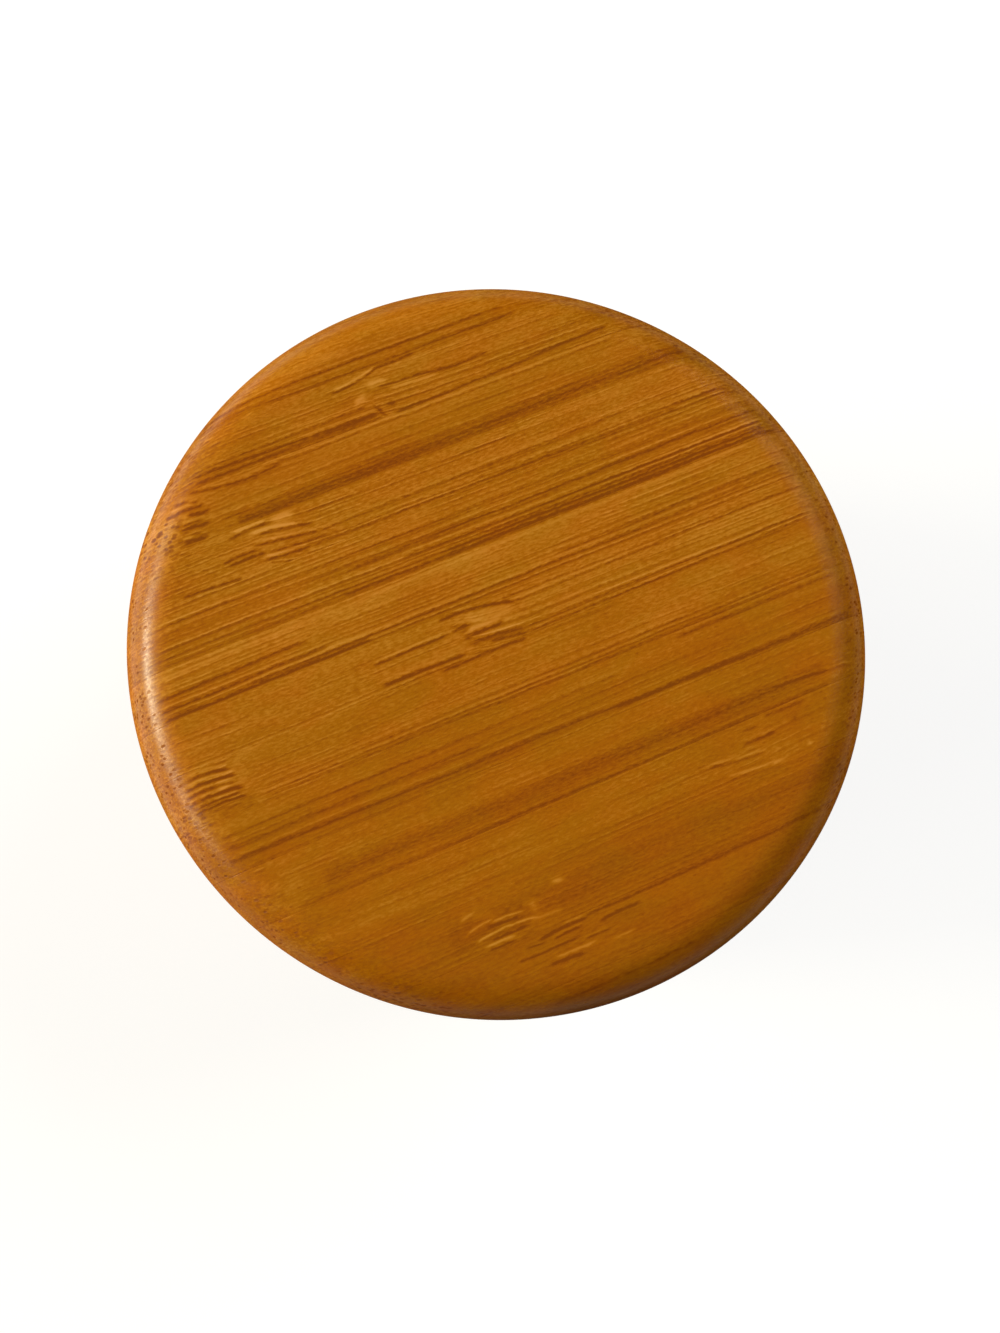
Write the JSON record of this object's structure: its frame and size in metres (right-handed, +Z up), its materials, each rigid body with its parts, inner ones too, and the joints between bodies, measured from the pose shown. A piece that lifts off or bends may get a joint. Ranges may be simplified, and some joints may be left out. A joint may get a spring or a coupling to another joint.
{
  "type": "salt box",
  "caption": "Round laminated bamboo salt box: a turned cup under a thick round lid that swivels sideways on a hidden steel pin and is held shut by a magnet pair.",
  "frame": {"origin": "middle of the cup's flat underside", "axes": "+Z up along the box's turned axis; +Y towards the pivot pin, -Y towards the magnets"},
  "size_m": [0.089, 0.089, 0.07],
  "materials": {
    "cup_bamboo": "caramel-brown laminated bamboo, sanded and oiled, satin",
    "lid_bamboo": "caramel-brown laminated bamboo, sanded and oiled, satin",
    "pin_steel": "ground steel, straight knurl on the pressed half",
    "magnet_nickel": "bright nickel plating"
  },
  "bodies": {
    "box": {"cup": "cup_bamboo", "pivot_pin": "pin_steel", "cup_magnet": "magnet_nickel"},
    "lid": {"lid": "lid_bamboo", "lid_magnet": "magnet_nickel"}
  },
  "joints": [
    {"name": "lid_swivel", "type": "hinge", "parent": "box", "child": "lid", "pos_m": [0, 0.039, 0.0573], "axis": [0, 0, 1], "range_deg": [-180, 180]}
  ]
}
